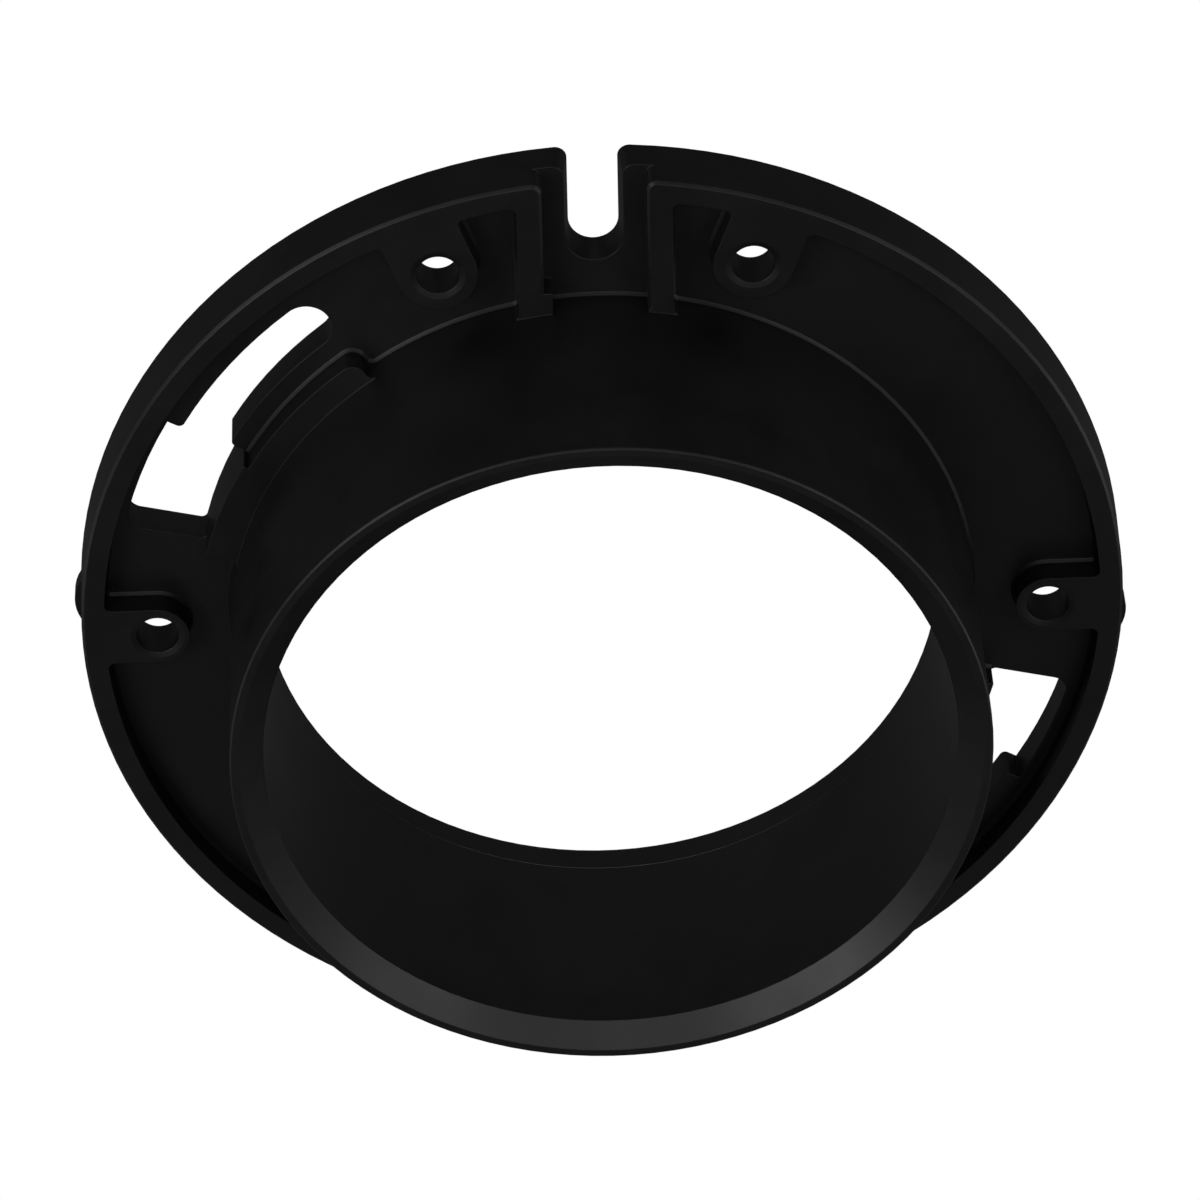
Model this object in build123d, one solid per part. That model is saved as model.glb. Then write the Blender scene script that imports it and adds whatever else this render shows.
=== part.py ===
"""Closet flange moulded in one piece, in millimetres.

A flat ring that carries the bowl's wax seal and its two closet bolts, with a hub below
that slips over a soil pipe. The frame is as installed: +Z up, the origin on the bore's
axis at the plane where the skirt's lower edge sits on the floor.
"""

import os
from math import cos, radians, sin

from build123d import *

# Ring: a plate with a skirt round its edge
plate_thickness = 6.35
skirt_depth = 4.95
skirt_wall = 3.9
rim_flare = 0.3
rim_seat_chamfer = 0.5
rim_top_chamfer = 0.6

# Hub: the socket below the ring
bore_d = 115.8
hub_wall = 5.6
hub_drop = 40.0
lead_in_width = 4.1
lead_in_depth = 3.1
hub_end_chamfer = 0.3
root_chamfer = 0.5

# The bore's upper end, where the two mould cores met
land_step = 0.15
land_depth = 6.0
bore_edge_chamfer = 0.8

# Circle shared by the closet bolts and the floor screws: a bolt's head fits between
# the hub and the skirt with a clearance on each side, which sets the ring's width
bolt_head_width = 14.0
head_to_hub = 5.5
head_to_skirt = 2.0
bolt_circle_d = bore_d + 2 * (hub_wall + head_to_hub) + bolt_head_width
flange_d = bolt_circle_d + bolt_head_width + 2 * (head_to_skirt + skirt_wall)
ways_round = (0, 180)

# Closet bolt notches, open at the edge, measured at the top face
notch_width = 8.2
notch_inset = 0.8
notch_draft = 7.0
notch_corner = 2.0
channel_width = 17.2
channel_corner = 1.7
rib_thickness = 4.2

# Pad that the material was fed through, at one rib's foot
gate_pad_size = 4.9
gate_pad_length = 3.6
gate_pad_reach = 1.4

# Floor screw holes, countersunk from above and dished below, and their bosses
screw_hole_d = 7.2
countersink_d = 14.0
screw_dish_width = 1.0
screw_dish_depth = 0.3
notch_screw_angle = 20.0
notch_boss_wall = 3.05
side_boss_wall = 1.85
pocket_corner = 1.2

# Curved keyhole slots for closet bolts, as angles from the side screw hole's line
bolt_shank_width = 8.6
keyhole_start = 13.9
keyhole_neck = 30.1
keyhole_end = 50.6
keyhole_lean = 0.6
keyhole_corner = 1.0
keyhole_heel = 2.6
ledge_width = 4.6
ledge_tip = 3.0
ledge_corner = 2.2

# Small bump on the ring's outer wall, one each side
nub_angle = 3.3
nub_half_length = 4.5
nub_height = 1.2
nub_thickness = 3.0
nub_lift = 4.5

# Heights and radii that the values above lead to
seat_z = 0.0
floor_z = seat_z + skirt_depth
top_z = floor_z + plate_thickness
end_z = seat_z - hub_drop
flange_r = flange_d / 2
rim_top_r = flange_r + rim_flare
bore_r = bore_d / 2
hub_r = bore_r + hub_wall
skirt_r = flange_r - skirt_wall
bolt_r = bolt_circle_d / 2
land_z = top_z - land_depth
notch_azimuth = -90.0
clear = 5.0
tiny = 0.01


def polar(radius, angle):
    """A point at a radius and an angle in degrees from +X."""
    return (radius * cos(radians(angle)), radius * sin(radians(angle)))


def from_axis(point):
    """A point's distance from the bore's axis."""
    return (point.X**2 + point.Y**2) ** 0.5


def ring_arc(radius, start, end):
    """An arc about the bore's axis from one angle to another."""
    middle = (start + end) / 2
    return ThreePointArc(polar(radius, start), polar(radius, middle), polar(radius, end))


def ring_sector(inner, outer, start, end):
    """A face between two radii and two angles, centred on the bore's axis."""
    with BuildSketch() as sector:
        with BuildLine():
            ring_arc(inner, start, end)
            Line(polar(inner, end), polar(outer, end))
            ring_arc(outer, end, start)
            Line(polar(outer, start), polar(inner, start))
        make_face()
    return sector.sketch


def upright_corners(prism, least_turn=20.0):
    """The prism's upright edges where its wall turns by more than a few degrees."""
    corners = []
    for edge in prism.edges().filter_by(Axis.Z):
        middle = edge @ 0.5
        walls = [face for face in prism.faces() if edge in face.edges()]
        if len(walls) != 2:
            continue
        turn = walls[0].normal_at(middle).get_angle(walls[1].normal_at(middle))
        if turn > least_turn:
            corners.append(edge)
    return corners


def turned_blank():
    """Ring and hub with no pockets yet, turned about the bore's axis."""
    with BuildPart() as blank:
        with BuildSketch(Plane.XZ):
            with BuildLine():
                Polyline(
                    (bore_r, end_z + lead_in_depth),
                    (bore_r, land_z),
                    (bore_r + land_step, land_z),
                    (bore_r + land_step, top_z),
                    (rim_top_r, top_z),
                    (flange_r, seat_z),
                    (hub_r, seat_z),
                    (hub_r, end_z),
                    (bore_r + lead_in_width, end_z),
                    close=True,
                )
            make_face()
        revolve(axis=Axis.Z)
    body = blank.part
    body = chamfer(edges_at(body, top_z, bore_r + land_step), bore_edge_chamfer)
    return chamfer(edges_at(body, end_z, hub_r), hub_end_chamfer)


def boss_outline(angle, wall):
    """Outline of a screw boss that grows from the skirt and ends round the hole."""
    half_width = screw_hole_d / 2 + wall
    outer_x = (skirt_r + flange_r) / 2
    with BuildSketch() as boss:
        with Locations(((bolt_r + outer_x) / 2, 0)):
            Rectangle(outer_x - bolt_r, 2 * half_width)
        with Locations((bolt_r, 0)):
            Circle(half_width)
    return boss.sketch.rotate(Axis.Z, angle)


def ledge_outline():
    """Outline of the raised ledge along the hub, beside one keyhole slot."""
    head_r = bolt_r - bolt_head_width / 2
    narrow_r = hub_r + ledge_width
    side = 180.0
    tip = side + keyhole_end + ledge_tip
    wide = ring_sector(hub_r - clear, head_r, side + keyhole_start, side + keyhole_neck)
    narrow = ring_sector(hub_r - clear, narrow_r, side + keyhole_start, tip)
    outer_corner = narrow.vertices().sort_by_distance(polar(narrow_r, tip))[0]
    return fillet(outer_corner, ledge_corner) + wide


def pocket_cutter():
    """One half of the hollow between hub and skirt, less what stands in it."""
    band = channel_width / 2 + rib_thickness
    hollow = Circle(skirt_r) - Circle(hub_r)
    half = hollow & Pos(-band - flange_r, 0) * Rectangle(2 * flange_r, 2 * flange_r)
    for angle in side_hole_places():
        half -= boss_outline(angle, side_boss_wall)
    for angle in notch_hole_places():
        half -= boss_outline(angle, notch_boss_wall)
    half -= ledge_outline()
    hollow_below = extrude(half, amount=floor_z)
    step = (hub_r + ledge_width - tiny, bolt_r - bolt_head_width / 2 + tiny)
    corners = [
        edge
        for edge in upright_corners(hollow_below)
        if not step[0] < from_axis(edge @ 0.5) < step[1]
    ]
    return fillet(corners, pocket_corner)


def keyhole_cutter():
    """One curved slot: a wide start for the bolt's head and a neck for its shank."""
    head = bolt_head_width / 2
    shank = bolt_shank_width / 2
    start, neck, end = (180.0 + angle for angle in (keyhole_start, keyhole_neck, keyhole_end))
    outer_neck = neck - keyhole_lean
    wide = ring_sector(bolt_r - head, bolt_r, start, neck)
    wide += ring_sector(bolt_r, bolt_r + head, start, outer_neck)
    narrow = ring_sector(bolt_r - shank, bolt_r + shank, start, end)
    tip = Pos(*polar(bolt_r, end)) * Circle(shank)
    slot = extrude(wide + narrow + tip, amount=plate_thickness + 2 * clear)
    corners = ShapeList(slot.edges().filter_by(Axis.Z))
    heel = corners.sort_by_distance((*polar(bolt_r + head, start), clear))[0]
    toe = corners.sort_by_distance((*polar(bolt_r - head, start), clear))[0]
    inner = corners.sort_by_distance((*polar(bolt_r - shank, neck), clear))[0]
    outer = corners.sort_by_distance((*polar(bolt_r + shank, outer_neck), clear))[0]
    slot = fillet(heel, keyhole_heel)
    slot = fillet(match(slot, [toe, inner, outer]), keyhole_corner)
    return Pos(0, 0, floor_z - clear) * slot


def match(solid, edges):
    """The solid's own edges that lie where the given upright edges lie."""
    return [solid.edges().filter_by(Axis.Z).sort_by_distance(edge @ 0.5)[0] for edge in edges]


def notch_cutter():
    """What the closet bolt notch takes out, wider toward the channel below it."""
    end_y = -bolt_r + notch_inset
    far_y = -flange_r - clear
    with BuildPart() as cutter:
        with BuildSketch(Plane.XY.offset(top_z)):
            with Locations((0, end_y)):
                Circle(notch_width / 2)
            with Locations((0, (end_y + far_y) / 2)):
                Rectangle(notch_width, end_y - far_y)
        extrude(amount=-plate_thickness, taper=-notch_draft)
    return cutter.part


def channel_cutter():
    """The low way under a notch that lets the bolt's head pass from the edge."""
    outer_y = -flange_r - clear
    with BuildSketch() as outline:
        with Locations((0, (outer_y - hub_r) / 2)):
            Rectangle(channel_width, -hub_r - outer_y)
    return extrude(outline.sketch, amount=floor_z)


def channel_end_cutter():
    """What is left between the channel's flat end and the hub's round wall."""
    with BuildSketch() as outline:
        with Locations((0, -(bore_r + hub_r) / 2)):
            Rectangle(channel_width, hub_r - bore_r)
        Circle(hub_r, mode=Mode.SUBTRACT)
    return extrude(outline.sketch, amount=floor_z)


def side_hole_places():
    """Angles of the screw holes at the two sides, a quarter turn from the notches."""
    return [notch_azimuth + 90.0 + turn for turn in ways_round]


def notch_hole_places():
    """Angles of the screw holes beside the notches, two by each."""
    beside = (-notch_screw_angle, notch_screw_angle)
    return [notch_azimuth + turn + angle for turn in ways_round for angle in beside]


def screw_hole_cutter():
    """Shank hole with a countersink above and a shallow dish round its lower end."""
    shank_r = screw_hole_d / 2
    sink_r = countersink_d / 2
    with BuildPart() as cutter:
        with BuildSketch(Plane.XZ):
            with BuildLine():
                Polyline(
                    (0, seat_z),
                    (shank_r + screw_dish_width, seat_z),
                    (shank_r, seat_z + screw_dish_depth),
                    (shank_r, top_z - sink_r + shank_r),
                    (sink_r, top_z),
                    (0, top_z),
                    close=True,
                )
            make_face()
        revolve(axis=Axis.Z)
    return cutter.part


def nub():
    """Small lens-shaped bump on the ring's outer wall."""
    sag = flange_r - (flange_r**2 - nub_half_length**2) ** 0.5
    side_x = flange_r - sag
    with BuildSketch(Plane.XY.offset(seat_z + nub_lift)) as outline:
        with BuildLine():
            ThreePointArc(
                (side_x, -nub_half_length), (flange_r + nub_height, 0), (side_x, nub_half_length)
            )
            Polyline((side_x, nub_half_length), (skirt_r, 0), (side_x, -nub_half_length))
        make_face()
    return extrude(outline.sketch, amount=nub_thickness).rotate(Axis.Z, nub_angle)


def gate_pad():
    """Small square pad at the foot of one rib, where the moulding was filled."""
    centre_x = -channel_width / 2 + gate_pad_reach - gate_pad_size / 2
    outer_y = -hub_r - gate_pad_length
    inner_y = -hub_r + hub_wall
    with BuildSketch() as outline:
        with Locations((centre_x, (outer_y + inner_y) / 2)):
            Rectangle(gate_pad_size, inner_y - outer_y)
        Circle(bore_r + hub_wall / 2, mode=Mode.SUBTRACT)
    return extrude(outline.sketch, amount=floor_z)


def edges_at(body, height, radius):
    """The body's arcs of one radius about the bore's axis, at one height."""
    arcs = body.edges().filter_by(GeomType.CIRCLE)
    return arcs.filter_by(
        lambda e: abs(e.radius - radius) < tiny
        and abs(e.arc_center.Z - height) < tiny
        and from_axis(e.arc_center) < tiny
    )


def mouth_edges(body, low, high):
    """The edges up from one height to another where a notch or channel opens outward."""
    def at_mouth(edge):
        ends = sorted(vertex.Z for vertex in edge.vertices())
        spans = len(ends) == 2 and abs(ends[0] - low) < tiny and abs(ends[1] - high) < tiny
        return spans and flange_r - tiny < from_axis(edge @ 0.5) < rim_top_r + tiny

    return body.edges().filter_by(at_mouth)


def soften(body):
    """Rounds the corners of the mouths and breaks the rim's edges and the hub's root."""
    body = fillet(mouth_edges(body, floor_z, top_z), notch_corner)
    body = fillet(mouth_edges(body, seat_z, floor_z), channel_corner)
    body = chamfer(edges_at(body, seat_z, flange_r), rim_seat_chamfer)
    body = chamfer(edges_at(body, top_z, rim_top_r), rim_top_chamfer)
    for turn in ways_round:
        body -= channel_end_cutter().rotate(Axis.Z, turn)
    return chamfer(edges_at(body, floor_z, hub_r), root_chamfer)


def closet_flange():
    """The whole moulding."""
    body = turned_blank()
    cutters = [pocket_cutter(), keyhole_cutter(), notch_cutter(), channel_cutter()]
    for turn in ways_round:
        for cutter in cutters:
            body -= cutter.rotate(Axis.Z, turn)
    for angle in side_hole_places() + notch_hole_places():
        body -= Pos(*polar(bolt_r, angle)) * screw_hole_cutter()
    body = soften(body)
    for turn in ways_round:
        body += nub().rotate(Axis.Z, turn)
        body += gate_pad().rotate(Axis.Z, turn)
    return body


os.makedirs("parts", exist_ok=True)
flange = closet_flange()
flange.label = "closet_flange"
export_step(flange, "parts/closet_flange.step")
print("solids", len(flange.solids()), "volume", round(flange.volume), "box", flange.bounding_box())
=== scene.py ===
"""Looks of the closet flange: one black plastic moulding on a pale floor, seen from below."""

from math import pi, radians

import bpy
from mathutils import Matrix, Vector


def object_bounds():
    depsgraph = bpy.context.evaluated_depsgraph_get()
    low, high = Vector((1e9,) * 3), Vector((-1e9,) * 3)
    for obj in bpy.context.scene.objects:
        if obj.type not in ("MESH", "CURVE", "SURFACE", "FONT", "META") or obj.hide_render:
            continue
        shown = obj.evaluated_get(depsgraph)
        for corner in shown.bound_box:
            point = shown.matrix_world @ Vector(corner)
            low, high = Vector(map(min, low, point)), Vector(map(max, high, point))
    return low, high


MM = 0.001
WHITE = (1.0, 1.0, 1.0, 1.0)

# Camera, as the photograph has it: from below the ring, with a long lens
CAMERA_PLACE = Vector((-22.89, -706.35, -963.23)) * MM
CAMERA_TURN = (143.952, 2.068, 1.011)
LENS = 210.0
SENSOR = 36.0

# Soft lamps: the way they stand from the part, how far, how wide, and how bright their face is
LAMPS = {
    "left_below": ((-0.62, -0.33, -0.71), 1.2, 0.65, 3.1),
    "right_below": ((0.65, -0.31, -0.70), 1.2, 0.65, 1.8),
    "front_below": ((0.03, -0.58, -0.81), 1.35, 0.55, 1.5),
    "right_side": ((0.95, 0.15, -0.15), 1.1, 0.55, 0.9),
    "left_side": ((-0.93, 0.30, -0.10), 1.1, 0.5, 0.5),
    "left_level": ((-0.80, -0.55, 0.28), 1.2, 0.5, 0.6),
    "front_level": ((0.0, -0.96, 0.28), 1.2, 0.5, 0.5),
    "right_level": ((0.80, -0.55, 0.28), 1.2, 0.5, 0.6),
    "above": ((0.0, 0.10, 1.0), 1.6, 0.75, 1.4),
}

# Lamp that lights the floor alone, so that it's pale with no more light on the part
FLOOR_LAMP = ((0.10, 0.15, 1.0), 1.6, 0.8, 12.0)

# Light of the surroundings: least against the given way, most along it, below and behind
AIR_WAY = (0.0, 0.6, -0.8)
AIR_LEVELS = (0.035, 0.105)
AGAINST_AND_ALONG = (-1.0, 1.0)

# Floor, just under the socket's end
FLOOR_GAP = 0.5 * MM
FLOOR_SIZE = 3.0
FLOOR_DARK = (0.78, 0.78, 0.78, 1.0)
FLOOR_PALE = (0.84, 0.84, 0.84, 1.0)
FLOOR_ROUGHNESS = 0.7
SPECKLE_SCALE = 30.0
SPECKLE_DETAIL = 2.0

# Part of a noise texture's range that colours and gloss run over
NOISE_RANGE = (0.3, 0.7)

# Black plastic: cloudy tone and gloss, mould grain, softened edges
PLASTIC_IOR = 1.5
CLOUD_SCALE = 60.0
CLOUD_DETAIL = 9.0
CLOUD_ROUGHNESS = 0.72
TONE_DARK = (0.0035, 0.0035, 0.0037, 1.0)
TONE_PALE = (0.0080, 0.0080, 0.0084, 1.0)
PLASTIC_ROUGHNESS = (0.36, 0.46)
GRAIN_SCALE = 2600.0
GRAIN_DETAIL = 3.0
GRAIN_DEPTH = 0.04 * MM
GRAIN_STRENGTH = 0.12
EDGE_RADIUS = 0.22 * MM
EDGE_SAMPLES = 8


def clear_tree(owner):
    """Empties the node tree of a material or a world and returns its nodes and links."""
    owner.use_nodes = True
    owner.node_tree.nodes.clear()
    return owner.node_tree.nodes, owner.node_tree.links


def noise(nodes, links, scale, detail):
    """A noise texture in the object's own space."""
    coords = nodes.new("ShaderNodeTexCoord")
    texture = nodes.new("ShaderNodeTexNoise")
    texture.inputs["Scale"].default_value = scale
    texture.inputs["Detail"].default_value = detail
    links.new(coords.outputs["Object"], texture.inputs["Vector"])
    return texture


def tone(nodes, links, texture, dark, pale):
    """A colour that runs from dark to pale with a noise texture."""
    ramp = nodes.new("ShaderNodeValToRGB")
    first, last = ramp.color_ramp.elements
    first.position, last.position = NOISE_RANGE
    first.color = dark
    last.color = pale
    links.new(texture.outputs["Fac"], ramp.inputs["Fac"])
    return ramp.outputs["Color"]


def mapped(nodes, links, value, old_range, new_range):
    """A value carried over from one range to another."""
    carry = nodes.new("ShaderNodeMapRange")
    ends = ("From Min", "From Max", "To Min", "To Max")
    for end, level in zip(ends, old_range + new_range):
        carry.inputs[end].default_value = level
    links.new(value, carry.inputs["Value"])
    return carry.outputs["Result"]


def grain_on_soft_edges(nodes, links):
    """Surface direction with rounded edges and a fine grain over them."""
    edges = nodes.new("ShaderNodeBevel")
    edges.samples = EDGE_SAMPLES
    edges.inputs["Radius"].default_value = EDGE_RADIUS
    grain = noise(nodes, links, GRAIN_SCALE, GRAIN_DETAIL)
    bump = nodes.new("ShaderNodeBump")
    bump.inputs["Strength"].default_value = GRAIN_STRENGTH
    bump.inputs["Distance"].default_value = GRAIN_DEPTH
    links.new(grain.outputs["Fac"], bump.inputs["Height"])
    links.new(edges.outputs["Normal"], bump.inputs["Normal"])
    return bump.outputs["Normal"]


def black_plastic():
    """Semi-gloss black moulded plastic."""
    material = bpy.data.materials.new("black_plastic")
    nodes, links = clear_tree(material)
    out = nodes.new("ShaderNodeOutputMaterial")
    plastic = nodes.new("ShaderNodeBsdfPrincipled")
    plastic.inputs["IOR"].default_value = PLASTIC_IOR
    clouds = noise(nodes, links, CLOUD_SCALE, CLOUD_DETAIL)
    clouds.inputs["Roughness"].default_value = CLOUD_ROUGHNESS
    roughness = mapped(nodes, links, clouds.outputs["Fac"], NOISE_RANGE, PLASTIC_ROUGHNESS)
    links.new(tone(nodes, links, clouds, TONE_DARK, TONE_PALE), plastic.inputs["Base Color"])
    links.new(roughness, plastic.inputs["Roughness"])
    links.new(grain_on_soft_edges(nodes, links), plastic.inputs["Normal"])
    links.new(plastic.outputs["BSDF"], out.inputs["Surface"])
    return material


def mixed(nodes, links, share, without, with_it):
    """A mix of two shaders by a share, the second one where the share is whole."""
    mix = nodes.new("ShaderNodeMixShader")
    for source, socket in zip((share, without, with_it), mix.inputs):
        links.new(source, socket)
    return mix.outputs["Shader"]


def floor_material():
    """Pale floor that only the camera sees, and only from above; it keeps the part's shadow."""
    material = bpy.data.materials.new("pale_floor")
    nodes, links = clear_tree(material)
    out = nodes.new("ShaderNodeOutputMaterial")
    path = nodes.new("ShaderNodeLightPath")
    side = nodes.new("ShaderNodeNewGeometry")
    clear = nodes.new("ShaderNodeBsdfTransparent").outputs["BSDF"]
    pale = nodes.new("ShaderNodeBsdfPrincipled")
    pale.inputs["Roughness"].default_value = FLOOR_ROUGHNESS
    speckle = noise(nodes, links, SPECKLE_SCALE, SPECKLE_DETAIL)
    links.new(tone(nodes, links, speckle, FLOOR_DARK, FLOOR_PALE), pale.inputs["Base Color"])
    one_sided = mixed(nodes, links, side.outputs["Backfacing"], pale.outputs["BSDF"], clear)
    seen = mixed(nodes, links, path.outputs["Is Camera Ray"], clear, one_sided)
    links.new(seen, out.inputs["Surface"])
    return material


def add_floor(lowest):
    """A flat square of floor under the part, with a lamp of its own."""
    half = FLOOR_SIZE / 2
    height = lowest - FLOOR_GAP
    mesh = bpy.data.meshes.new("floor")
    corners = [(x, y, height) for x, y in ((-half, -half), (half, -half), (half, half), (-half, half))]
    mesh.from_pydata(corners, [], [(0, 1, 2, 3)])
    mesh.materials.append(floor_material())
    floor = bpy.data.objects.new("floor", mesh)
    bpy.context.scene.collection.objects.link(floor)
    lit = bpy.data.collections.new("lit_by_floor_lamp")
    lit.objects.link(floor)
    add_lamp("floor_lamp", *FLOOR_LAMP).light_linking.receiver_collection = lit


def add_lamp(name, way, distance, size, brightness):
    """A square soft lamp that faces the part, whose face has the given brightness."""
    data = bpy.data.lights.new(name, "AREA")
    data.shape = "SQUARE"
    data.size = size
    data.energy = brightness * pi * size**2
    lamp = bpy.data.objects.new(name, data)
    lamp.location = Vector(way).normalized() * distance
    lamp.rotation_euler = (-lamp.location).to_track_quat("-Z", "Y").to_euler()
    bpy.context.scene.collection.objects.link(lamp)
    return lamp


def white_background(nodes):
    """A white background of strength 1."""
    background = nodes.new("ShaderNodeBackground")
    background.inputs["Color"].default_value = WHITE
    return background


def air_level(nodes, links):
    """How bright the surroundings are in each direction."""
    coords = nodes.new("ShaderNodeTexCoord")
    along = nodes.new("ShaderNodeVectorMath")
    along.operation = "DOT_PRODUCT"
    along.inputs[1].default_value = AIR_WAY
    links.new(coords.outputs["Generated"], along.inputs[0])
    return mapped(nodes, links, along.outputs["Value"], AGAINST_AND_ALONG, AIR_LEVELS)


def add_world():
    """White surroundings for the camera, and dim, uneven ones for the part."""
    world = bpy.data.worlds.new("world")
    bpy.context.scene.world = world
    nodes, links = clear_tree(world)
    out = nodes.new("ShaderNodeOutputWorld")
    camera_share = nodes.new("ShaderNodeLightPath").outputs["Is Camera Ray"]
    seen = white_background(nodes).outputs["Background"]
    air = white_background(nodes)
    links.new(air_level(nodes, links), air.inputs["Strength"])
    both = mixed(nodes, links, camera_share, air.outputs["Background"], seen)
    links.new(both, out.inputs["Surface"])


def add_camera():
    """The photograph's camera."""
    data = bpy.data.cameras.new("camera")
    data.lens = LENS
    data.sensor_width = SENSOR
    camera = bpy.data.objects.new("camera", data)
    camera.location = CAMERA_PLACE
    camera.rotation_euler = [radians(angle) for angle in CAMERA_TURN]
    bpy.context.scene.collection.objects.link(camera)
    bpy.context.scene.camera = camera


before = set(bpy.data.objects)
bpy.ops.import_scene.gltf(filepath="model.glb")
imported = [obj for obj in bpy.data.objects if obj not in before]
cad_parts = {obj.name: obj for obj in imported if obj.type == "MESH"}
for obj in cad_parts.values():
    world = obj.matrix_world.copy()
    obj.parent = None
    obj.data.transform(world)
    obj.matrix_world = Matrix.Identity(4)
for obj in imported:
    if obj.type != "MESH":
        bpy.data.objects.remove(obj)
cad_low, cad_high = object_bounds()
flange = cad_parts["closet_flange"]
flange.data.materials.clear()
flange.data.materials.append(black_plastic())
add_floor(cad_low[2])
for lamp_name, lamp_values in LAMPS.items():
    add_lamp(lamp_name, *lamp_values)
add_world()
add_camera()
bpy.context.scene.view_settings.view_transform = "Standard"
